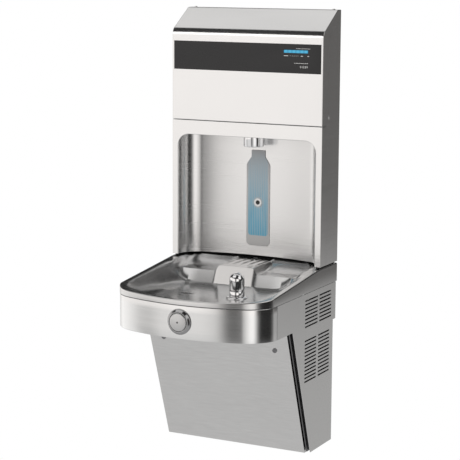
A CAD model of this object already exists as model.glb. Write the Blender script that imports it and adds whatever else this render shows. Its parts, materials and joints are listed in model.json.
import json
import math

import bmesh
import bpy
import numpy as np
from mathutils import Matrix, Vector
from mathutils.kdtree import KDTree

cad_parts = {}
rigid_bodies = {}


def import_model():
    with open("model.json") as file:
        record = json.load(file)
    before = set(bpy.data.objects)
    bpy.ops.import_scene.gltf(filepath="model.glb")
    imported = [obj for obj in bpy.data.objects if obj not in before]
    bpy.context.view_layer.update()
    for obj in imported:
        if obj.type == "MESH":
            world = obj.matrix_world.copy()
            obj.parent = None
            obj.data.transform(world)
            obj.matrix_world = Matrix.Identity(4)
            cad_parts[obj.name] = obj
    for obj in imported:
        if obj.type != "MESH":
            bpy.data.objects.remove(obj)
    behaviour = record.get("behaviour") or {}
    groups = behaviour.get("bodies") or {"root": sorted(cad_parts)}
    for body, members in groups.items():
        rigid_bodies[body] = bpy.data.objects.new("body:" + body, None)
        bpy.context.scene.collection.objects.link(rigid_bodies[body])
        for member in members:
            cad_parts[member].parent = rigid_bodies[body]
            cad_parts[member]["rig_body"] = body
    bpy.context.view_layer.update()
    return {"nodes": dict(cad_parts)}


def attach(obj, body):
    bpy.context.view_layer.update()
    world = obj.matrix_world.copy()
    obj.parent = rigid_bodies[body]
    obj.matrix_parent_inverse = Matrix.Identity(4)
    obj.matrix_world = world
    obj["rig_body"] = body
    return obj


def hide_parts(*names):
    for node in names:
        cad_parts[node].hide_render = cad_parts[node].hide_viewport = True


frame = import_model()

scene = bpy.context.scene
Z_HANG = 420.0            # origin of the frame above the cabinet's lower edge, mm


# ------------------------------------------------------------------ materials

class Tree:
    """A short way to write a node tree."""

    def __init__(self, tree):
        self.t = tree
        self.t.nodes.clear()

    def n(self, kind, inputs=None, **props):
        node = self.t.nodes.new("ShaderNode" + kind)
        for k, v in props.items():
            setattr(node, k, v)
        for k, v in (inputs or {}).items():
            sock = node.inputs[k]
            if hasattr(v, "is_output"):
                self.t.links.new(v, sock)
            else:
                sock.default_value = v
        return node

    def math(self, op, a, b=0.0, c=0.0, clamp=False):
        node = self.t.nodes.new("ShaderNodeMath")
        node.operation = op
        node.use_clamp = clamp
        for i, v in enumerate((a, b, c)):
            if hasattr(v, "is_output"):
                self.t.links.new(v, node.inputs[i])
            elif i < len(node.inputs):
                node.inputs[i].default_value = v
        return node.outputs[0]

    def ramp(self, fac, lo, hi, a, b, smooth=True):
        return self.n("MapRange", {"Value": fac, "From Min": lo, "From Max": hi,
                                   "To Min": a, "To Max": b},
                      interpolation_type="SMOOTHSTEP" if smooth else "LINEAR").outputs[0]

    def mix(self, fac, a, b):
        node = self.t.nodes.new("ShaderNodeMix")
        node.data_type = "RGBA"
        for name, v in (("Factor", fac), ("A", a), ("B", b)):
            sock = [s for s in node.inputs if s.name == name and
                    (s.type == "VALUE" if name == "Factor" else s.type == "RGBA")][0]
            if hasattr(v, "is_output"):
                self.t.links.new(v, sock)
            else:
                sock.default_value = v
        return [s for s in node.outputs if s.type == "RGBA"][0]

    def grey(self, v):
        return self.n("CombineColor", {0: v, 1: v, 2: v}).outputs[0]


def rgba(c):
    return (c[0], c[1], c[2], 1.0)


def new_mat(name):
    m = bpy.data.materials.new(name)
    m.use_nodes = True
    t = Tree(m.node_tree)
    out = t.n("OutputMaterial")
    bsdf = t.n("BsdfPrincipled")
    m.node_tree.links.new(bsdf.outputs[0], out.inputs[0])
    return m, t, bsdf


def coords(t, scale, loc=(0, 0, 0)):
    tc = t.n("TexCoord")
    return t.n("Mapping", {"Vector": tc.outputs["Object"], "Scale": scale,
                           "Location": loc}).outputs[0]


def noise(t, vec, scale=1.0, detail=3.0, rough=0.55, dist=0.0):
    return t.n("TexNoise", {"Vector": vec, "Scale": scale, "Detail": detail,
                            "Roughness": rough, "Distortion": dist}).outputs[0]


def brushed(name, tone=0.78, rough=0.2, streak=0.03, aniso=0.6, fine=420.0, tint=(1, 1, 1),
            bump=0.04, along=5):
    """Sheet steel with a grain that runs level on upright faces and along X on flat ones."""
    m, t, b = new_mat(name)
    link = m.node_tree.links.new
    nrm = t.n("NewGeometry").outputs["Normal"]
    sep = t.n("SeparateXYZ", {0: nrm})
    flat = t.ramp(t.math("ABSOLUTE", sep.outputs[2]), 0.6, 0.85, 0.0, 1.0)
    wall = noise(t, coords(t, (along, along, fine)), 1.0, 4.0, 0.6)
    deck = noise(t, coords(t, (5, fine, 5), (0.3, 0.1, 0.7)), 1.0, 4.0, 0.6)
    mixer = t.n("Mix", {"Factor": flat, "A": wall, "B": deck}, data_type="FLOAT")
    grain = mixer.outputs[0]
    cloud = noise(t, coords(t, (7, 7, 7)), 1.0, 2.0, 0.5)
    value = t.math("ADD", t.ramp(grain, 0.25, 0.75, tone - streak, tone + streak, False),
                   t.ramp(cloud, 0.3, 0.7, -0.008, 0.008, False))
    col = t.n("CombineColor", {0: t.math("MULTIPLY", value, tint[0]),
                               1: t.math("MULTIPLY", value, tint[1]),
                               2: t.math("MULTIPLY", value, tint[2])}).outputs[0]
    link(col, b.inputs["Base Color"])
    link(t.ramp(grain, 0.25, 0.75, rough - 0.035, rough + 0.035, False), b.inputs["Roughness"])
    b.inputs["Metallic"].default_value = 1.0
    if aniso:
        b.inputs["Anisotropic"].default_value = aniso
        b.inputs["Anisotropic Rotation"].default_value = 0.25
        link(t.n("Tangent", direction_type="RADIAL", axis="Z").outputs[0], b.inputs["Tangent"])
    link(t.n("Bump", {"Height": grain, "Strength": bump, "Distance": 0.0003}).outputs[0],
         b.inputs["Normal"])
    return m


def metal(name, color, rough, spread=0.03, scale=60.0, bump=0.0, coarse=False):
    m, t, b = new_mat(name)
    link = m.node_tree.links.new
    n1 = noise(t, coords(t, (scale, scale, scale)), 1.0, 4.0, 0.6)
    if coarse:
        vor = t.n("TexVoronoi", {"Vector": coords(t, (scale * 2, scale * 2, scale * 2)),
                                 "Scale": 1.0})
        n1 = t.math("MULTIPLY_ADD", t.n("SeparateColor", {0: vor.outputs["Color"]}).outputs[0],
                    0.5, t.math("MULTIPLY", n1, 0.5))
    link(t.mix(n1, rgba([max(0, c - spread) for c in color]),
               rgba([min(1, c + spread) for c in color])), b.inputs["Base Color"])
    link(t.ramp(n1, 0.3, 0.7, max(0.02, rough - 0.04), rough + 0.04, False),
         b.inputs["Roughness"])
    b.inputs["Metallic"].default_value = 1.0
    if bump:
        link(t.n("Bump", {"Height": n1, "Strength": bump, "Distance": 0.0004}).outputs[0],
             b.inputs["Normal"])
    return m


def plastic(name, color, rough, spread=0.015, scale=300.0, bump=0.05, ior=1.45,
            coat=0.0, trans=0.0):
    m, t, b = new_mat(name)
    link = m.node_tree.links.new
    n1 = noise(t, coords(t, (scale, scale, scale)), 1.0, 3.0, 0.6)
    n2 = noise(t, coords(t, (12, 12, 12)), 1.0, 2.0, 0.5)
    f = t.math("MULTIPLY_ADD", n2, 0.5, t.math("MULTIPLY", n1, 0.5))
    link(t.mix(f, rgba([max(0, c - spread) for c in color]),
               rgba([min(1, c + spread) for c in color])), b.inputs["Base Color"])
    link(t.ramp(f, 0.3, 0.7, max(0.02, rough - 0.04), rough + 0.05, False),
         b.inputs["Roughness"])
    b.inputs["IOR"].default_value = ior
    if coat:
        b.inputs["Coat Weight"].default_value = coat
        b.inputs["Coat Roughness"].default_value = 0.05
    if trans:
        b.inputs["Transmission Weight"].default_value = trans
    if bump:
        link(t.n("Bump", {"Height": n1, "Strength": bump, "Distance": 0.0003}).outputs[0],
             b.inputs["Normal"])
    return m


def button_metal():
    """Turned face: fine rings round the button's axis."""
    m, t, b = new_mat("button_turned")
    link = m.node_tree.links.new
    pos = coords(t, (1, 0, 1), (0, 0, 0.010))
    rad = t.n("VectorMath", {0: pos}, operation="LENGTH").outputs["Value"]
    wave = noise(t, t.n("CombineXYZ", {0: t.math("MULTIPLY", rad, 900.0)}).outputs[0],
                 1.0, 3.0, 0.7)
    link(t.grey(t.ramp(wave, 0.25, 0.75, 0.54, 0.74, False)), b.inputs["Base Color"])
    link(t.ramp(wave, 0.25, 0.75, 0.30, 0.42, False), b.inputs["Roughness"])
    b.inputs["Metallic"].default_value = 1.0
    link(t.n("Bump", {"Height": wave, "Strength": 0.12, "Distance": 0.0003}).outputs[0],
         b.inputs["Normal"])
    return m


def placard_print():
    """Grey plate; fine blue lines that grow denser and stronger towards the bottom."""
    m, t, b = new_mat("placard_print")
    link = m.node_tree.links.new
    p = t.n("SeparateXYZ", {0: t.n("TexCoord").outputs["Object"]})
    x, z = p.outputs[0], p.outputs[2]
    # the printed area: rounded box inside the plate, X +-30.5, Z 567..800 (cabinet mm)
    ax = t.math("ABSOLUTE", x)
    qx = t.math("MAXIMUM", t.math("SUBTRACT", ax, 0.0225), 0.0)
    qz = t.math("MAXIMUM", t.math("SUBTRACT", 0.155, z), 0.0)
    dist = t.math("SQRT", t.math("ADD", t.math("MULTIPLY", qx, qx),
                                 t.math("MULTIPLY", qz, qz)))
    inside = t.ramp(dist, 0.0072, 0.0084, 1.0, 0.0)
    up = t.ramp(z, 0.148, 0.385, 1.0, 0.0, False)
    fade = t.math("POWER", up, 0.8)
    line = t.math("ABSOLUTE", t.math("SINE", t.math("MULTIPLY", x, 575.0)))
    lines = t.ramp(line, 0.35, 0.75, 0.0, 1.0)
    soft = noise(t, coords(t, (30, 30, 9)), 1.0, 2.0, 0.5)
    amount = t.math("MULTIPLY", inside, t.math("MULTIPLY", fade, t.math(
        "ADD", t.math("MULTIPLY", lines, 0.60), t.ramp(soft, 0.3, 0.7, 0.28, 0.48, False))),
        clamp=True)
    # a little clearing round the sensor
    dz = t.math("SUBTRACT", z, 0.241)
    r = t.math("SQRT", t.math("ADD", t.math("MULTIPLY", x, x), t.math("MULTIPLY", dz, dz)))
    amount = t.math("MULTIPLY", amount, t.ramp(r, 0.010, 0.019, 0.25, 1.0))
    upper = t.ramp(z, 0.27, 0.38, 0.0, 1.0)
    grey = t.mix(upper, (0.49, 0.485, 0.48, 1), (0.40, 0.405, 0.415, 1))
    link(t.mix(amount, grey, (0.05, 0.36, 0.54, 1)), b.inputs["Base Color"])
    link(t.ramp(soft, 0.3, 0.7, 0.36, 0.44, False), b.inputs["Roughness"])
    return m


def light_bar():
    m, t, b = new_mat("blue_light")
    link = m.node_tree.links.new
    x = t.n("SeparateXYZ", {0: t.n("TexCoord").outputs["Object"]}).outputs[0]
    led = t.math("ABSOLUTE", t.math("SINE", t.math("MULTIPLY", t.math("SUBTRACT", x, 0.113),
                                                   math.pi / 0.0118)))
    glow = t.ramp(led, 0.0, 1.0, 0.85, 1.05)
    link(t.mix(t.ramp(led, 0, 1, 0, 1), (0.03, 0.24, 0.40, 1), (0.05, 0.30, 0.46, 1)),
         b.inputs["Base Color"])
    link(t.mix(t.ramp(led, 0, 1, 0, 1), (0.015, 0.20, 0.36, 1), (0.03, 0.27, 0.44, 1)),
         b.inputs["Emission Color"])
    link(t.math("MULTIPLY", glow, 0.55), b.inputs["Emission Strength"])
    b.inputs["Roughness"].default_value = 0.3
    return m


MAT = {
    "stainless": brushed("stainless", 0.80, 0.17, 0.016, 0.55),
    "stainless_door": brushed("stainless_door", 0.79, 0.2, 0.038, 0.6, fine=330.0, along=26),
    "stainless_bowl": brushed("stainless_bowl", 0.66, 0.20, 0.012, 0.0, bump=0.02),
    "stainless_liner": brushed("stainless_liner", 0.79, 0.25, 0.012, 0.5),
    "galvanised": metal("galvanised", (0.42, 0.42, 0.43), 0.42, 0.05, 45.0, 0.05, True),
    "chrome": metal("chrome", (0.84, 0.84, 0.85), 0.05, 0.015, 25.0),
    "bezel": metal("bezel", (0.42, 0.42, 0.425), 0.12, 0.02, 60.0),
    "screw": metal("screw", (0.26, 0.26, 0.27), 0.34, 0.03, 90.0, 0.02),
    "chrome_turned": metal("chrome_turned", (0.86, 0.86, 0.87), 0.12, 0.02, 90.0, 0.02),
    "button": button_metal(),
    "black_gloss": plastic("black_gloss", (0.012, 0.012, 0.013), 0.16, 0.004, 60.0, 0.0),
    "black_rail": metal("black_rail", (0.20, 0.20, 0.205), 0.38, 0.03, 60.0, 0.03),
    "black_plastic": plastic("black_plastic", (0.03, 0.03, 0.032), 0.45, 0.008),
    "blue_light": light_bar(),
    "circuit_board": plastic("circuit_board", (0.02, 0.13, 0.05), 0.4, 0.02, 500.0),
    "placard_print": placard_print(),
    "brass": metal("brass", (0.72, 0.55, 0.28), 0.28, 0.04, 80.0, 0.03),
    "copper": metal("copper", (0.78, 0.40, 0.26), 0.3, 0.05, 60.0, 0.03),
    "clear_tube": plastic("clear_tube", (0.78, 0.80, 0.78), 0.3, 0.03, 120.0, 0.0, trans=0.35),
    "rubber": plastic("rubber", (0.02, 0.02, 0.02), 0.65, 0.006, 400.0, 0.1),
    "black_paint": plastic("black_paint", (0.022, 0.022, 0.024), 0.35, 0.008, 150.0, 0.06),
    "foam": plastic("foam", (0.016, 0.016, 0.016), 0.9, 0.01, 700.0, 0.4),
    "white_plastic": plastic("white_plastic", (0.80, 0.80, 0.79), 0.35, 0.015, 200.0, 0.03),
    "spring_steel": metal("spring_steel", (0.5, 0.5, 0.52), 0.3, 0.04, 150.0, 0.02),
    "fan_metal": metal("fan_metal", (0.55, 0.56, 0.58), 0.38, 0.04, 70.0, 0.03),
}

NODE_MAT = {
    "rear_shell": "stainless", "alcove_ceiling": "stainless_liner",
    "display_carrier": "black_plastic", "light_guide": "blue_light",
    "control_board": "circuit_board", "sensor_bezel": "white_plastic",
    "sensor_lens": "black_gloss", "filler_nozzle": "chrome", "nozzle_insert": "black_plastic",
    "nozzle_nut": "brass", "fill_tube": "clear_tube", "solenoid_valve": "black_plastic",
    "riser_tube": "clear_tube", "tube_grommet": "rubber", "cover_screws": "chrome_turned",
    "head_gasket": "foam", "drain_cup": "screw", "waste_pipe": "chrome",
    "platform_tube": "clear_tube", "bubbler_base": "chrome", "bubbler_body": "chrome",
    "bubbler_gasket": "rubber", "bubbler_nut": "brass", "basin_brackets": "galvanised",
    "apron_pan": "galvanised", "button_bezel": "chrome", "bezel_nut": "galvanised",
    "push_button": "button", "button_spring": "spring_steel", "valve_body": "brass",
    "valve_plunger": "chrome_turned", "side_panel_left": "stainless_door",
    "side_panel_right": "stainless_door", "front_panel": "stainless_door",
    "door_rails": "black_rail", "panel_screws": "screw", "base_pan": "galvanised",
    "back_frame": "galvanised", "wall_hanger": "galvanised", "compressor": "black_paint",
    "compressor_grommets": "rubber", "condenser": "fan_metal", "fan_shroud": "black_plastic",
    "fan_motor": "galvanised", "fan_blade": "fan_metal", "chiller_tank": "foam",
    "drier": "copper", "refrigerant_lines": "copper", "filter_cartridge": "white_plastic",
    "filter_head": "black_plastic", "inlet_valve": "brass", "water_lines": "clear_tube",
    "terminal_box": "black_plastic",
}


def paint(o, mat):
    o.data.materials.clear()
    o.data.materials.append(MAT[mat])


# ------------------------------------------------------------------ mesh tools

def to_m(p):
    return Vector((p[0] / 1000.0, p[1] / 1000.0, (p[2] - Z_HANG) / 1000.0))


def shade(o, angle=35.0):
    me = o.data
    me.polygons.foreach_set("use_smooth", [True] * len(me.polygons))
    me.update()
    me.set_sharp_from_angle(angle=math.radians(angle))


def add(name, verts, faces, mat, body="cabinet", replaces=(), angle=35.0):
    me = bpy.data.meshes.new(name)
    me.from_pydata([to_m(v) for v in verts], [], faces)
    me.validate()
    o = bpy.data.objects.new(name, me)
    scene.collection.objects.link(o)
    paint(o, mat)
    shade(o, angle)
    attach(o, body)
    if replaces:
        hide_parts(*replaces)
    return o


def apply_mods(o, angle=35.0):
    """Makes the modified mesh the object's own."""
    dg = bpy.context.evaluated_depsgraph_get()
    me = bpy.data.meshes.new_from_object(o.evaluated_get(dg))
    old = o.data
    o.modifiers.clear()
    o.data = me
    me.name = old.name + "_m"
    bpy.data.meshes.remove(old)
    shade(o, angle)
    return o


def level_normals(o):
    """Keeps wide flat faces flat beside their rounded edges."""
    m = o.modifiers.new("normals", "WEIGHTED_NORMAL")
    m.mode = "FACE_AREA"
    m.weight = 100
    m.keep_sharp = True
    return o


def bevel(o, width, seg=3, angle=40.0):
    m = o.modifiers.new("edge", "BEVEL")
    m.width = width / 1000.0
    m.segments = seg
    m.limit_method = "ANGLE"
    m.angle_limit = math.radians(angle)
    m.use_clamp_overlap = True
    m.miter_outer = "MITER_ARC"
    return o


def solid(o, t, offset=-1.0):
    m = o.modifiers.new("sheet", "SOLIDIFY")
    m.thickness = t / 1000.0
    m.offset = offset
    m.use_even_offset = True
    return o


def drill(o, centre, axis, r, depth, seg=48):
    """Cuts a round hole through o; axis is 0, 1 or 2."""
    bm = bmesh.new()
    bmesh.ops.create_cone(bm, cap_ends=True, segments=seg, radius1=r / 1000.0,
                          radius2=r / 1000.0, depth=depth / 1000.0)
    rot = {0: Matrix.Rotation(math.pi / 2, 4, "Y"), 1: Matrix.Rotation(math.pi / 2, 4, "X"),
           2: Matrix.Identity(4)}[axis]
    bmesh.ops.transform(bm, matrix=Matrix.Translation(to_m(centre)) @ rot, verts=bm.verts)
    me = bpy.data.meshes.new("cutter")
    bm.to_mesh(me)
    bm.free()
    c = bpy.data.objects.new("cutter", me)
    scene.collection.objects.link(c)
    m = o.modifiers.new("hole", "BOOLEAN")
    m.operation = "DIFFERENCE"
    m.solver = "EXACT"
    m.object = c
    apply_mods(o)
    bpy.data.objects.remove(c)
    bpy.data.meshes.remove(me)
    return o


def dressed(node, mat=None, width=0.4, seg=2, angle=35.0, join=0.02):
    """A clean copy of a CAD node's mesh with softened edges, shown in its place."""
    src = frame["nodes"][node]
    bm = bmesh.new()
    bm.from_mesh(src.data)
    bmesh.ops.remove_doubles(bm, verts=bm.verts, dist=join / 1000.0)
    bmesh.ops.dissolve_limit(bm, angle_limit=math.radians(0.6), verts=bm.verts,
                             edges=bm.edges)
    bmesh.ops.recalc_face_normals(bm, faces=bm.faces)
    me = bpy.data.meshes.new(node + "_skin")
    bm.to_mesh(me)
    bm.free()
    o = bpy.data.objects.new(node + "_skin", me)
    scene.collection.objects.link(o)
    paint(o, mat or NODE_MAT[node])
    shade(o, angle)
    if width:
        bevel(o, width, seg, angle)
        level_normals(apply_mods(o, 50.0))
    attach(o, frame_body(node))
    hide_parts(node)
    return o


def frame_body(node):
    return frame["nodes"][node]["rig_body"]


def plate(name, loops, thick, edge, place, mat, body="cabinet", replaces=()):
    """Flat plate from closed outlines (first the outer one), with rounded edges.
    place turns (u, v, w) in mm into (x, y, z) in cabinet mm."""
    cu = bpy.data.curves.new(name, "CURVE")
    cu.dimensions = "2D"
    cu.fill_mode = "BOTH"
    cu.extrude = (thick / 2 - edge) / 1000.0
    cu.bevel_depth = edge / 1000.0
    cu.bevel_resolution = 2
    cu.offset = -edge / 1000.0
    for loop in loops:
        sp = cu.splines.new("POLY")
        sp.points.add(len(loop) - 1)
        for q, (u, v) in zip(sp.points, loop):
            q.co = (u / 1000.0, v / 1000.0, 0, 1)
        sp.use_cyclic_u = True
    tmp = bpy.data.objects.new(name + "_curve", cu)
    scene.collection.objects.link(tmp)
    dg = bpy.context.evaluated_depsgraph_get()
    me = bpy.data.meshes.new_from_object(tmp.evaluated_get(dg))
    bpy.data.objects.remove(tmp)
    bpy.data.curves.remove(cu)
    bm = bmesh.new()
    bm.from_mesh(me)
    bmesh.ops.remove_doubles(bm, verts=bm.verts, dist=1e-6)
    for v in bm.verts:
        v.co = to_m(place(v.co.x * 1000.0, v.co.y * 1000.0, v.co.z * 1000.0))
    bmesh.ops.recalc_face_normals(bm, faces=bm.faces)
    bm.to_mesh(me)
    bm.free()
    me.name = name
    o = bpy.data.objects.new(name, me)
    scene.collection.objects.link(o)
    paint(o, mat)
    shade(o, 35.0)
    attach(o, body)
    if replaces:
        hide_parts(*replaces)
    return o


def circle(cx, cy, r, n=32):
    return [(cx + r * math.cos(2 * math.pi * i / n), cy + r * math.sin(2 * math.pi * i / n))
            for i in range(n)]


def arc(cx, cy, r, a0, a1, n):
    """Points from angle a0 to a1 in degrees, both included."""
    return [(cx + r * math.cos(math.radians(a0 + (a1 - a0) * i / n)),
             cy + r * math.sin(math.radians(a0 + (a1 - a0) * i / n))) for i in range(n + 1)]


def fillet(a, b, c, r, n=6):
    a, b, c = (Vector(p) for p in (a, b, c))
    u, v = (a - b).normalized(), (c - b).normalized()
    h = u.angle(v) / 2
    l = r / math.tan(h)
    o = b + (u + v).normalized() * (r / math.sin(h))
    p, q = b + u * l, b + v * l
    a0 = math.atan2(p.y - o.y, p.x - o.x)
    a1 = math.atan2(q.y - o.y, q.x - o.x)
    d = a1 - a0
    d = d - 2 * math.pi if d > math.pi else d + 2 * math.pi if d < -math.pi else d
    return [(o.x + r * math.cos(a0 + d * i / n), o.y + r * math.sin(a0 + d * i / n))
            for i in range(n + 1)]


def lathe(name, rings, centre, axis, mat, body="cabinet", replaces=(), seg=96, angle=35.0):
    """Closed turned piece: rings of (radius, height) round an axis (1 = Y, 2 = Z)."""
    verts, faces = [], []
    index = []
    for r, h in rings:
        row = []
        if r < 1e-6:
            verts.append((0, 0, h))
            row = [len(verts) - 1] * seg
        else:
            for k in range(seg):
                a = 2 * math.pi * k / seg
                verts.append((r * math.cos(a), r * math.sin(a), h))
                row.append(len(verts) - 1)
        index.append(row)
    for i in range(len(index) - 1):
        for k in range(seg):
            f = [index[i][k], index[i][(k + 1) % seg], index[i + 1][(k + 1) % seg],
                 index[i + 1][k]]
            g = []
            for v in f:
                if v not in g:
                    g.append(v)
            if len(g) > 2:
                faces.append(g)
    if axis == 1:
        verts = [(centre[0] + x, h, centre[1] + y) for x, y, h in verts]
    else:
        verts = [(centre[0] + x, centre[1] + y, h) for x, y, h in verts]
    o = add(name, verts, faces, mat, body, replaces, angle)
    bm = bmesh.new()
    bm.from_mesh(o.data)
    bmesh.ops.recalc_face_normals(bm, faces=bm.faces)
    bm.to_mesh(o.data)
    bm.free()
    shade(o, angle)
    return o


def flip_to(o, outward):
    """Turns every face so that its normal agrees with outward(centre in mm)."""
    bm = bmesh.new()
    bm.from_mesh(o.data)
    bad = []
    for f in bm.faces:
        c = f.calc_center_median()
        n = outward((c.x * 1000, c.y * 1000, c.z * 1000 + Z_HANG))
        if f.normal.dot(Vector(n)) < 0:
            bad.append(f)
    bmesh.ops.reverse_faces(bm, faces=bad)
    bm.to_mesh(o.data)
    bm.free()
    return o


# ------------------------------------------------------------------ filler head

HW = 228.6


def build_cover():
    prof = [(-100.0, 891.5), (-114.0, 891.5)]
    prof += fillet((-114, 891), (-114, 1139), (-23, 1198.5), 26, 12)
    prof += fillet((-114, 1139), (-23, 1198.5), (0, 1198.5), 10, 6)
    prof += [(0.0, 1198.5)]
    # rows on the flat front for the display opening
    lo, hi = 1030.85, 1109.15
    rows = prof[:2] + [(-114.0, lo), (-114.0, hi)] + prof[2:]
    xs = [-HW, -222.8, 222.8, HW]
    verts, faces = [], []
    for y, z in rows:
        for x in xs:
            verts.append((x, y, z))
    nx = len(xs)
    for j in range(len(rows) - 1):
        for i in range(nx - 1):
            if rows[j][1] == lo and rows[j + 1][1] == hi and i == 1:
                continue
            faces.append([j * nx + i, j * nx + i + 1, (j + 1) * nx + i + 1, (j + 1) * nx + i])
    seam = [(0.0, 1177.0), (-7.0, 1173.9), (-63.8, 1139.4), (-70.0, 1132.6),
            (-74.6, 1127.6), (-77.0, 1126.6), (-77.0, 891.5)]
    for side, i in ((-1, 0), (1, nx - 1)):
        ring = [j * nx + i for j in range(1, len(rows))]
        start = len(verts)
        verts += [(side * HW, y, z) for y, z in seam]
        f = ring + list(range(start, start + len(seam)))
        faces.append(f if side < 0 else f[::-1])
    o = add("top_cover_skin", verts, faces, "stainless", replaces=("top_cover",))
    flip_to(o, lambda c: (0, 0, -1) if abs(c[2] - 891.5) < 0.2 and abs(c[0]) < 228
            else (c[0] if abs(c[0]) > 228 else 0, 0 if abs(c[0]) > 228 else c[1] + 20,
                  0 if abs(c[0]) > 228 else (c[2] - 1140) if c[2] > 1138 else 0))
    bevel(o, 1.9, 4)
    solid(o, 1.3)
    return level_normals(apply_mods(o, 60))


def build_frame():
    w, top, r = 210.9, 851.0, 34.0
    inner = [(-w, 510.0)] + arc(-w + r, top - r, r, 180, 90, 14)
    inner += arc(w - r, top - r, r, 90, 0, 14) + [(w, 510.0)]
    outer = [(-HW, 510.0), (-HW, 890.5), (HW, 890.5), (HW, 510.0)]
    verts = [(x, -114.0, z) for x, z in outer] + [(x, -114.0, z) for x, z in inner]
    no, ni = 4, len(inner)
    faces = [[0, 1, 2, 3] + [no + i for i in reversed(range(ni))]]
    # return lip of the opening
    s = len(verts)
    verts += [(x, -111.4, z) for x, z in inner]
    for i in range(ni - 1):
        faces.append([no + i, no + i + 1, s + i + 1, s + i])
    # cheeks and the top flange
    s = len(verts)
    verts += [(-HW, -77.0, 510.0), (-HW, -77.0, 890.5), (HW, -77.0, 890.5), (HW, -77.0, 510.0),
              (-HW, -100.0, 890.5), (HW, -100.0, 890.5)]
    faces.append([0, 1, s + 4, s + 1, s])
    faces.append([3, s + 3, s + 2, s + 5, 2])
    faces.append([1, 2, s + 5, s + 4])
    o = add("alcove_frame_skin", verts, faces, "stainless", replaces=("alcove_frame",))

    def out(c):
        if abs(c[0]) > 228.5:
            return (c[0], 0, 0)
        if c[1] < -113.9:
            return (0, -1, 0)
        if abs(c[2] - 890.5) < 0.2:
            return (0, 0, 1)
        return (-c[0] if abs(c[0]) > 176 else 0, 0, -max(0.0, c[2] - 800))
    flip_to(o, out)
    bevel(o, 1.3, 4)
    solid(o, 1.2)
    return level_normals(apply_mods(o, 60))


def build_liner():
    path = [(-210.0, -112.0)] + [(x, y) for x, y in arc(-150, -110.7, 60, 180, 105, 26)]
    path += [(640 * math.sin(math.radians(a)), -671 + 640 * math.cos(math.radians(a)))
             for a in np.linspace(-14.98, 14.98, 61)[1:-1]]
    path += [(x, y) for x, y in arc(150, -110.7, 60, 75, 0, 26)] + [(210.0, -112.0)]
    zs = [510.6, 520, 560, 600, 640, 651.6, 670.4, 700, 740, 780, 820, 845, 850.9]
    verts = [(x, y, z) for z in zs for x, y in path]
    n = len(path)
    faces = []
    for j in range(len(zs) - 1):
        for i in range(n - 1):
            cx = (path[i][0] + path[i + 1][0]) / 2
            if zs[j] == 651.6 and abs(cx) < 9.4:
                continue
            faces.append([j * n + i, j * n + i + 1, (j + 1) * n + i + 1, (j + 1) * n + i])
    o = add("alcove_liner_skin", verts, faces, "stainless_liner", replaces=("alcove_liner",))
    flip_to(o, lambda c: (-c[0] * (1 if abs(c[0]) > 165 else 0.05), -30, 0))
    solid(o, 1.1)
    return apply_mods(o)


def build_panel():
    w, z0, z1, r = 222.5, 1031.15, 1108.85, 1.2
    outer = (arc(w - r, z0 + r, r, -90, 0, 4) + arc(w - r, z1 - r, r, 0, 90, 4)
             + arc(-w + r, z1 - r, r, 90, 180, 4) + arc(-w + r, z0 + r, r, 180, 270, 4))
    window = [(112.6, 1084.7), (112.6, 1093.1), (184.2, 1093.1), (184.2, 1084.7)]
    return plate("display_panel_skin", [outer, window], 3.0, 0.35,
                 lambda u, v, q: (u, -112.8 - q, v), "black_gloss",
                 replaces=("display_panel",))


SEGMENTS = {"0": "abcdef", "1": "bc", "2": "abged", "3": "abgcd", "4": "fgbc",
            "5": "afgcd", "6": "afgedc", "7": "abc", "8": "abcdefg", "9": "abcdfg"}


def build_display_marks():
    """Lit figures of the counter and a plain scale of ticks round the light bar."""
    y = -114.42
    verts, faces = [], []

    def bar(x0, x1, z0, z1):
        s = len(verts)
        for yy in (y, -114.25):
            verts.extend([(x0, yy, z0), (x1, yy, z0), (x1, yy, z1), (x0, yy, z1)])
        faces.extend([[s + i for i in f] for f in ((0, 1, 2, 3), (7, 6, 5, 4), (0, 4, 5, 1),
                                                   (1, 5, 6, 2), (2, 6, 7, 3), (3, 7, 4, 0))])

    w, h, t = 3.1, 5.6, 0.75
    spots = {"a": (0, w, h - t, h), "d": (0, w, 0, t), "g": (0, w, h / 2 - t / 2, h / 2 + t / 2),
             "f": (0, t, h / 2, h), "e": (0, t, 0, h / 2), "b": (w - t, w, h / 2, h),
             "c": (w - t, w, 0, h / 2)}
    for k, digit in enumerate("01284"):
        x = 161.5 + k * 4.7
        for s in SEGMENTS[digit]:
            a, b, c, d = spots[s]
            bar(x + a, x + b, 1045.6 + c, 1045.6 + d)
    for k in range(9):
        x = 144.0 + k * 4.6
        bar(x, x + (3.4 if k % 3 else 2.4), 1057.4, 1058.6)
    for k in range(10):
        x = 149.5 + k * 4.2
        bar(x, x + 2.4, 1096.3, 1097.6)
    for x0, x1 in ((113.5, 119.0), (120.2, 125.5), (163.0, 169.5), (182.6, 187.0)):
        bar(x0, x1, 1076.6, 1078.0)
    for k in range(5):
        bar(131.5 + k * 5.6, 133.2 + k * 5.6, 1076.8, 1077.8)
    return add("display_figures", verts, faces, "white_plastic")


def build_placard():
    w = 36.0
    out = [(w - 13 + 13 * math.sin(math.radians(i * 9)), 551 - 13 * math.cos(math.radians(i * 9)))
           for i in range(11)]
    out += fillet((w, 700), (w, 768), (20.9, 789.5), 14, 8)
    out += fillet((w, 768), (20.9, 789.5), (20.9, 808), 6, 5)
    out += [(20.9, 807.2), (20.1, 808)]
    out += [(-x, z) for x, z in reversed(out)]
    return plate("bottle_placard_skin", [out, circle(0, 661, 9.4, 40)], 1.2, 0.3,
                 lambda u, v, q: (u, -32.9 - q, v), "placard_print",
                 replaces=("bottle_placard",))


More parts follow.
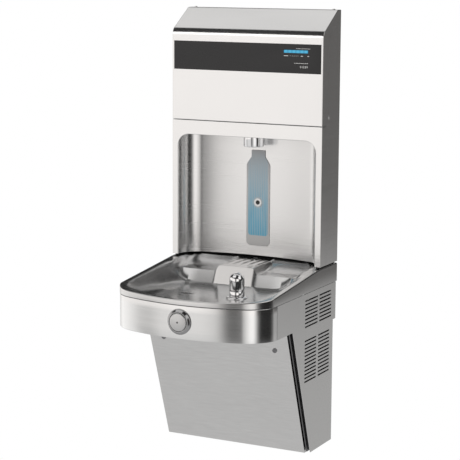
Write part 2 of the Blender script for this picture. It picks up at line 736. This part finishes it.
def build_nozzle():
    r = 29.0
    rings = [(7.0, 872.0), (13.8, 872.0), (13.8, 851.0), (r - 1.0, 851.0), (r, 850.4)]
    rings += [(r, 824.0), (r - 0.5, 822.7), (r - 1.6, 822.0), (23.2, 822.0), (22.2, 822.6),
              (22.0, 823.5), (22.0, 828.0), (7.0, 828.0), (7.0, 872.0)]
    return lathe("filler_nozzle_skin", rings, (0, -64), 2, "chrome",
                 replaces=("filler_nozzle",))


# ------------------------------------------------------------------ basin

RIM_FALL = 0.1015


def rim(y):
    return np.where(y > -114, 505.0, 505.0 - RIM_FALL * (-114 - y))


def smin(a, b, k):
    h = np.maximum(k - np.abs(a - b), 0.0)
    return np.minimum(a, b) - h * h / (4 * k)


def smax(a, b, k):
    h = np.maximum(k - np.abs(a - b), 0.0)
    return np.maximum(a, b) + h * h / (4 * k)


RAY = (0.3195, -0.9476)


def inset(x, y, d):
    """Distance inside the basin's outline moved in by d, and the place along the corner."""
    ax = np.abs(x)
    rho = np.hypot(ax, y - 31)
    rx, ry = ax - 134.2, y + 367.0
    rc = np.hypot(rx, ry)
    central = (RAY[0] * ry - RAY[1] * rx) < 0
    dist = np.where(rx < 0, 520 - rho, np.where(central & (ry < 0), 520 - rho,
                    np.where(ry < 0, 100 - rc, 100 - rx)))
    ang = np.clip((np.arctan2(ry, np.maximum(rx, 1e-6)) + 1.246) / 0.9, 0, 1)
    ang = np.where(rx < 0, 0.0, ang)
    return dist - d, ang


def basin_height(x, y):
    ax = np.abs(x)
    d_out, ang = inset(x, y, 13.0)
    m = 0.719 + (0.881 - 0.719) * ang
    lo = np.full_like(x, 430.0)
    hi = np.full_like(x, 525.0)
    top = rim(y)
    drain = np.hypot(x + 75, y + 308)
    floor = 445.0 + 0.014 * np.maximum(drain - 22, 0)
    # plan of the recessed shelf
    sx, sy = 200 - ax, -58 - y
    corner = (ax > 160) & (y > -98)
    d_shelf = np.where(corner, 40 - np.hypot(ax - 160, y + 98), np.minimum(sx, sy))
    for _ in range(34):
        z = (lo + hi) / 2
        a_deck = z - top
        ramp = ((ax - 63) * 19 + (z - 483.5) * 12) / 22.47
        wall = d_shelf + 0.12 * (z - 505)
        a_shelf = smin(smin(z - 483.5, wall, 36.0), ramp, 6.0)
        a_shelf = np.minimum(a_shelf, y + 179)
        a_plat = np.minimum(np.minimum(z - 502.5, (51.6 - ax) + 1.0), -13.2 - y)
        a_plat = np.minimum(a_plat, y + 179)
        side = ((214 - ax) * 0.881 + (z - top)) / 1.3327
        front = (d_out * m + (z - top)) / np.sqrt(1 + m * m)
        riser = -172.0 - y + 0.06 * (z - 500)
        bowl = smin(side, front, 12.0)
        bowl = smin(bowl, riser, 30.0)
        bowl = smin(bowl, z - floor, 24.0)
        air = smax(smax(a_deck, a_shelf, 2.5), a_plat, 1.2)
        air = smax(air, bowl, 4.0)
        up = air > 0
        hi = np.where(up, z, hi)
        lo = np.where(up, lo, z)
    z = (lo + hi) / 2
    for i in range(5):
        gx = (i - 2) * 22.0
        gy = np.clip(y, -117.0, -30.0)
        d = np.hypot(x - gx, y - gy)
        s = np.clip((5.3 - d) / 2.6, 0, 1)
        z = z - 4.6 * s * s * (3 - 2 * s)
    d = np.hypot(x + 8, y + 45)
    s = np.clip((10.0 - d) / 2.4, 0, 1)
    z = z - 7.0 * s * s * (3 - 2 * s)
    return z


def front_line(x):
    """Y of the outline moved in by 3 mm at a given X."""
    ax = abs(x)
    if ax < 165.2:
        return 31 - math.sqrt(517.0 ** 2 - ax ** 2)
    return -367 - math.sqrt(max(97.0 ** 2 - (ax - 134.2) ** 2, 0.0))


def spaced(*parts):
    """Lines from (start, stop, step) pieces."""
    out = []
    for a, b, s in parts:
        n = max(1, int(round((b - a) / s)))
        out += [a + (b - a) * i / n for i in range(n)]
    return out + [parts[-1][1]]


def build_basin():
    half = spaced((0, 50, 1.0), (50, 67, 0.85), (67, 194, 2.7), (194, 203, 0.9),
                  (203, 216, 1.3), (216, 225.6, 1.6))
    xs = np.array([-v for v in reversed(half[1:])] + half)
    back = spaced((0, -13, 2.6), (-13, -16, 0.75), (-16, -26, 1.25), (-26, -56, 1.5), (-56, -66, 1.0),
                  (-66, -110, 2.6), (-110, -123, 1.0), (-123, -166, 2.6), (-166, -182, 0.55),
                  (-182, -204, 1.1), (-204, -300, 2.6))
    back = np.array([back[0]] + back[1:])
    nf = 72
    s = np.linspace(0, 1, nf + 1)[1:]
    s = s + 0.10 * np.sin(math.pi * s)          # a little denser towards the rim
    s = s / s[-1]
    fy = np.array([front_line(v) for v in xs])
    X = np.empty((len(back) + nf, len(xs)))
    Y = np.empty_like(X)
    X[:] = xs
    Y[:len(back)] = back[:, None]
    Y[len(back):] = -300 + (fy[None, :] + 300) * s[:, None]
    Z = basin_height(X, Y)
    Z[-1] = rim(Y[-1])
    Z[:, 0] = rim(Y[:, 0])
    Z[:, -1] = rim(Y[:, -1])
    ny, nx = X.shape
    verts = [tuple(v) for v in np.stack([X, Y, Z], -1).reshape(-1, 3)]
    faces = []
    cx, cy = (X[:-1, :-1] + X[1:, 1:]) / 2, (Y[:-1, :-1] + Y[1:, 1:]) / 2
    gone = ((np.hypot(cx + 8, cy + 45) < 6.6) | (np.hypot(cx - 150, cy + 25) < 8.4)
            | (np.hypot(cx - 74, cy + 307) < 13.5) | (np.hypot(cx + 75, cy + 308) < 18.6))
    for j in range(ny - 1):
        for i in range(nx - 1):
            if not gone[j, i]:
                faces.append([j * nx + i, (j + 1) * nx + i, (j + 1) * nx + i + 1, j * nx + i + 1])
    # rounded edge and skirt
    edge = [j * nx for j in range(ny)] + [(ny - 1) * nx + i for i in range(1, nx)]
    edge += [j * nx + nx - 1 for j in range(ny - 2, -1, -1)]
    rings = [edge]
    steps = [(3 * math.sin(math.radians(a)), 3 * (1 - math.cos(math.radians(a))))
             for a in (15, 30, 45, 60, 75, 90)]
    for dn, dz in steps + [(3.0, None)]:
        row = []
        for v in edge:
            x, y, z = verts[v]
            ax = abs(x)
            if y > -400.0 + 0.01 and ax > 225.5:
                n = (math.copysign(1.0, x), 0.0)
            elif ax < 165.2:
                l = math.hypot(x, y - 31)
                n = (x / l, (y - 31) / l)
            else:
                l = math.hypot(ax - 134.2, y + 367)
                n = (math.copysign((ax - 134.2) / l, x), (y + 367) / l)
            row.append(len(verts))
            verts.append((x + n[0] * dn, y + n[1] * dn, 454.3 if dz is None else z - dz))
        rings.append(row)
    for a, b in zip(rings, rings[1:]):
        for i in range(len(a) - 1):
            faces.append([a[i], a[i + 1], b[i + 1], b[i]])
    # fold at the wall
    back_row = [i for i in range(nx)]
    row = []
    for v in back_row:
        x, y, z = verts[v]
        row.append(len(verts))
        verts.append((x, 0.0, 470.0))
    for i in range(nx - 1):
        faces.append([back_row[i], back_row[i + 1], row[i + 1], row[i]])
    o = add("basin_skin", verts, faces, "stainless_bowl", replaces=("basin",), angle=42)

    def out(c):
        if c[1] > -0.3 and c[2] < 503:
            return (0, 1, 0)
        d, _ = inset(np.array([c[0]]), np.array([c[1]]), 0.0)
        if d[0] < 2.2 or abs(c[0]) > 226.4:
            return (c[0] / 4 if c[1] < -380 else c[0], -60 if c[1] < -400 else 0, 40)
        return (0, 0, 1)
    flip_to(o, out)
    shade(o, 42)
    solid(o, 1.1)
    return apply_mods(o, 42)


def build_strainer():
    loops = [circle(-75, -308, 20.0, 72), circle(-75, -308, 2.45, 16)]
    for k in (1, 2, 3):
        for i in range(6 * k):
            a = math.radians(i * 60 / k)
            loops.append(circle(-75 + 5.5 * k * math.cos(a), -308 + 5.5 * k * math.sin(a),
                                2.45, 16))
    return plate("basin_strainer", loops, 0.5, 0.1, lambda u, v, q: (u, v, 444.95 + q),
                 "stainless_bowl")


# ------------------------------------------------------------------ apron and button

def apron_path():
    """Points and outward normals of the outline moved in by 0.6 mm, left to right."""
    d = 0.6
    pts = []
    w = HW - d
    side = [(w, -382.0), (w, -390.0), (w, -398.0)]
    corner_a = math.degrees(math.atan2(-33.0, 94.3))
    top = math.degrees(math.atan2(RAY[1], RAY[0]))
    right = [(p, (1.0, 0.0)) for p in side]
    for i in range(25):
        a = math.radians(corner_a + (top - corner_a) * i / 24)
        right.append(((134.2 + (100 - d) * math.cos(a), -367 + (100 - d) * math.sin(a)),
                      (math.cos(a), math.sin(a))))
    a1 = math.asin(166.15 / 520.0)
    for i in range(1, 41):
        a = a1 * (1 - i / 40)
        right.append((((520 - d) * math.sin(a), 31 - (520 - d) * math.cos(a)),
                      (math.sin(a), -math.cos(a))))
    left = [((-p[0], p[1]), (-n[0], n[1])) for p, n in right[:-1]]
    return left + right[::-1]


def build_apron():
    z0, z1, r = 363.7, 452.9, 1.6
    prof = [(13.0, z0), (6.0, z0)]
    prof += [(r - r * math.sin(math.radians(a)), z0 + r - r * math.cos(math.radians(a)))
             for a in (0, 22.5, 45, 67.5, 90)]
    prof += [(0.0, z) for z in (385, 400, 410, 420, 435)]
    prof += [(r - r * math.cos(math.radians(a)), z1 - r + r * math.sin(math.radians(a)))
             for a in (0, 22.5, 45, 67.5, 90)]
    prof += [(6.0, z1), (11.0, z1)]
    path = apron_path()
    verts, faces = [], []
    for d, z in prof:
        for (x, y), (nx, ny) in path:
            verts.append((x - nx * d, y - ny * d, z))
    n = len(path)
    for j in range(len(prof) - 1):
        for i in range(n - 1):
            faces.append([j * n + i, j * n + i + 1, (j + 1) * n + i + 1, (j + 1) * n + i])
    o = add("apron_skin", verts, faces, "stainless", replaces=("apron",))

    def out(c):
        if c[2] < z0 + 0.2:
            return (0, 0, -1)
        if c[2] > z1 - 0.2:
            return (0, 0, 1)
        return (c[0], (c[1] + 300), 0)
    flip_to(o, out)
    solid(o, 1.2)
    apply_mods(o)
    return drill(o, (0, -486, 410), 1, 31.0, 40.0, 64)


def build_button():
    y0, face = 0.0, []
    for a in np.linspace(0, 1, 20):
        r = 1.6 + (22.6 - 1.6) * a
        face.append((r, -(math.sqrt(116.45 ** 2 - r * r) + 383.55)))
    dimple = [(0.0, -499.2), (1.6, -499.2), (1.75, face[0][1] + 0.25)]
    rings = dimple + face
    rings += [(23.5, -497.1), (23.9, -496.5), (24.0, -495.5), (24.0, -485.7), (26.5, -485.7),
              (26.5, -481.0), (21.0, -481.0), (21.0, -493.0), (5.0, -493.0), (5.0, -447.3),
              (4.7, -447.0), (0.0, -447.0)]
    return lathe("push_button_skin", rings, (0, 410), 1, "button", body="button",
                 replaces=("push_button",), seg=128)


def build_bezel():
    rings = [(25.1, -486.0), (25.1, -494.4), (25.2, -495.2), (25.5, -495.8), (25.9, -496.0),
             (27.0, -496.0), (27.6, -495.7), (28.2, -495.2), (31.8, -490.0), (32.4, -489.5),
             (34.0, -489.2), (34.25, -489.1), (34.25, -488.9),
             (30.5, -488.9), (30.5, -462.4), (30.1, -462.0), (5.3, -462.0), (5.3, -464.0),
             (27.0, -464.0), (27.0, -486.0), (25.1, -486.0)]
    return lathe("button_bezel_skin", rings, (0, 410), 1, "bezel",
                 replaces=("button_bezel",), seg=128)


def build_button_dot():
    return lathe("button_centre_mark", [(0, -500.05), (2.4, -500.03), (2.7, -499.9), (2.7, -499.25),
                                        (0, -499.25)], (0, 410), 1, "black_gloss",
                 body="button", seg=24)


# ------------------------------------------------------------------ bubbler

def build_bubbler_base():
    rings = [(12.3, 446.0), (28.2, 446.0), (28.5, 446.4), (28.5, 448.2), (28.0, 449.4), (26.8, 450.3),
             (24.5, 450.85), (21.5, 451.0), (12.3, 451.0), (12.3, 446.0)]
    return lathe("bubbler_base_skin", rings, (74, -307), 2, "chrome",
                 replaces=("bubbler_base",))


def build_bubbler_body():
    rings = [(0.0, 408.0), (11.6, 408.0), (12.0, 408.5), (12.0, 451.2), (19.5, 451.2),
             (20.0, 451.7), (20.0, 465.3), (19.75, 465.6), (19.35, 465.65), (19.35, 466.35),
             (19.75, 466.4), (20.0, 466.7)]
    rings += [(20.0, z) for z in (472.0, 478.0, 484.0, 490.0)]
    rings += [(20 * math.cos(math.radians(a)), 495 + 20 * math.sin(math.radians(a)))
              for a in np.linspace(0, 90, 22)[:-1]] + [(0.0, 515.0)]
    o = lathe("bubbler_body_skin", rings, (74, -307), 2, "chrome",
              replaces=("bubbler_body",), angle=50)
    drill(o, (58, -307, 494), 0, 10.6, 14.0, 64)
    drill(o, (71, -307, 494), 0, 3.0, 12.0, 24)
    bevel(o, 0.7, 3, 50)
    return apply_mods(o, 40)


# ------------------------------------------------------------------ assembly

build_cover()
build_frame()
build_liner()
build_panel()
build_display_marks()
build_placard()
build_nozzle()
build_basin()
build_strainer()
build_apron()
build_button()
build_button_dot()
build_bezel()
build_bubbler_base()
build_bubbler_body()
dressed("rear_shell", width=0.35)
dressed("front_panel", width=1.2, seg=4)
dressed("panel_screws", width=0.4)
dressed("cover_screws", width=0.5)
dressed("sensor_bezel", width=0.5)
dressed("sensor_lens", width=0.6, seg=3)
dressed("light_guide", width=0.4)
dressed("nozzle_insert", width=0.3)

for name, o in frame["nodes"].items():
    if not o.hide_render:
        paint(o, NODE_MAT[name])

# ------------------------------------------------------------------ studio

cam_data = bpy.data.cameras.new("camera")
cam_data.sensor_width = 36.0
cam_data.lens = 126.33
cam_data.clip_start = 0.1
cam_data.clip_end = 60.0
cam = bpy.data.objects.new("camera", cam_data)
scene.collection.objects.link(cam)
a, e, ro = (math.radians(v) for v in (27.097, 9.501, 0.299))
back = Vector((math.sin(a) * math.cos(e), -math.cos(a) * math.cos(e), math.sin(e)))
right = (-back).cross(Vector((0, 0, 1))).normalized()
up = right.cross(-back)
c, s = math.cos(ro), math.sin(ro)
r2, u2 = c * right + s * up, -s * right + c * up
cam.matrix_world = Matrix(((r2.x, u2.x, back.x, 1.963825), (r2.y, u2.y, back.y, -4.042571),
                           (r2.z, u2.z, back.z, 0.909467), (0, 0, 0, 1)))
scene.camera = cam
scene.view_settings.view_transform = "Standard"

floor_mesh = bpy.data.meshes.new("floor")
floor_mesh.from_pydata([(-14, -14, -0.85), (14, -14, -0.85), (14, 14, -0.85), (-14, 14, -0.85)],
                       [], [(0, 1, 2, 3)])
floor = bpy.data.objects.new("floor", floor_mesh)
scene.collection.objects.link(floor)
fm = bpy.data.materials.new("pale_floor")
fm.use_nodes = True
ft = Tree(fm.node_tree)
fo = ft.n("OutputMaterial")
fd = ft.n("BsdfDiffuse", {"Color": (0.8, 0.8, 0.8, 1)})
fe = ft.n("Emission", {"Color": (1, 1, 1, 1), "Strength": 1.0})
fmix = ft.n("MixShader", {0: ft.n("LightPath").outputs["Is Camera Ray"]})
fm.node_tree.links.new(fd.outputs[0], fmix.inputs[1])
fm.node_tree.links.new(fe.outputs[0], fmix.inputs[2])
fm.node_tree.links.new(fmix.outputs[0], fo.inputs[0])
floor.data.materials.append(fm)
floor.visible_glossy = False
floor.visible_diffuse = False

world = bpy.data.worlds.new("studio")
scene.world = world
world.use_nodes = True
wt = Tree(world.node_tree)
wout = wt.n("OutputWorld")
direction = wt.n("SeparateXYZ", {0: wt.n("TexCoord").outputs["Generated"]})
azimuth = wt.math("ARCTAN2", direction.outputs[0], wt.math("MULTIPLY", direction.outputs[1], -1))
turn = wt.math("ADD", wt.math("DIVIDE", azimuth, 2 * math.pi), 0.5)
height = direction.outputs[2]


def around(stops):
    """Brightness of the studio round the object: (azimuth, light)."""
    node = wt.n("ValToRGB", {"Fac": turn})
    el = node.color_ramp.elements
    el[0].position = 0.0
    el[1].position = 1.0
    for az, _ in stops[1:-1]:
        el.new((az + 180) / 360.0)
    for point, (az, v) in zip(sorted(el, key=lambda q: q.position), stops):
        point.color = (v, v, v, 1)
    return wt.n("SeparateColor", {0: node.outputs[0]}).outputs[0]


low = around([(-180, .62), (-130, .80), (-105, 1.15), (-68, 1.0), (-58, .58), (-51, .54),
              (-42, .76), (-14, .78), (-5, .70), (2, .17), (9, .14), (15, .50), (25, .82),
              (37, 1.12), (46, 1.14), (54, .72), (61, .22), (69, .03), (88, .02), (103, .03),
              (118, .34), (140, .42), (180, .50)])
high = around([(-180, .60), (-130, .75), (-105, 1.15), (-60, 1.02), (-50, .98), (-27, 1.12),
               (-14, 1.06), (-5, .90), (2, .14), (9, .12), (15, .60), (27, .95), (36, 1.18),
               (47, 1.18), (54, .55), (59, .12), (70, .02), (88, .02), (104, .03),
               (118, .22), (135, .20), (153, .125), (180, .20)])
level = wt.ramp(height, -0.205, -0.165, 0.0, 1.0)


def tinted(v, g, b):
    return wt.n("CombineColor", {0: v, 1: wt.math("MULTIPLY", v, g),
                                 2: wt.math("MULTIPLY", v, b)}).outputs[0]


room = wt.mix(level, tinted(low, 0.99, 0.975), tinted(high, 0.966, 0.94))
edge_of_dark = wt.ramp(direction.outputs[1], -0.3, 0.3, 0.43, 0.09)
over = wt.math("SUBTRACT", height, edge_of_dark)
room = wt.mix(wt.ramp(over, -0.04, 0.04, 0.0, 1.0), room, (0.035, 0.035, 0.035, 1))
ceiling = wt.math("MULTIPLY", wt.ramp(height, 0.60, 0.76, 0.0, 1.0),
                  wt.ramp(direction.outputs[1], -0.04, 0.12, 0.0, 1.0))
room = wt.mix(ceiling, room, (0.80, 0.79, 0.78, 1))
box_light = wt.n("VectorMath", {0: wt.n("TexCoord").outputs["Generated"],
                                1: (0.776, -0.152, 0.605)}, operation="DOT_PRODUCT")
room = wt.mix(wt.ramp(box_light.outputs["Value"], 0.905, 0.945, 0.0, 1.0), room,
              (1.0, 0.985, 0.97, 1))
room = wt.mix(wt.ramp(height, -0.35, -0.60, 0.0, 1.0), room, (0.57, 0.565, 0.56, 1))
room = wt.mix(wt.n("LightPath").outputs["Is Diffuse Ray"], room, (0.92, 0.91, 0.90, 1))
soft = wt.n("Background", {"Color": room, "Strength": 1.0})
white = wt.n("Background", {"Color": (1, 1, 1, 1), "Strength": 1.0})
pick = wt.n("MixShader", {0: wt.n("LightPath").outputs["Is Camera Ray"]})
world.node_tree.links.new(soft.outputs[0], pick.inputs[1])
world.node_tree.links.new(white.outputs[0], pick.inputs[2])
world.node_tree.links.new(pick.outputs[0], wout.inputs[0])

lamp = bpy.data.lights.new("softbox", "AREA")
lamp.shape = "RECTANGLE"
lamp.size = 1.0
lamp.size_y = 0.75
lamp.energy = 0.9 * math.pi * lamp.size * lamp.size_y
lamp.color = (1.0, 0.985, 0.97)
lamp_object = bpy.data.objects.new("softbox", lamp)
scene.collection.objects.link(lamp_object)
lamp_object.location = (-0.45, -0.80, 0.90)
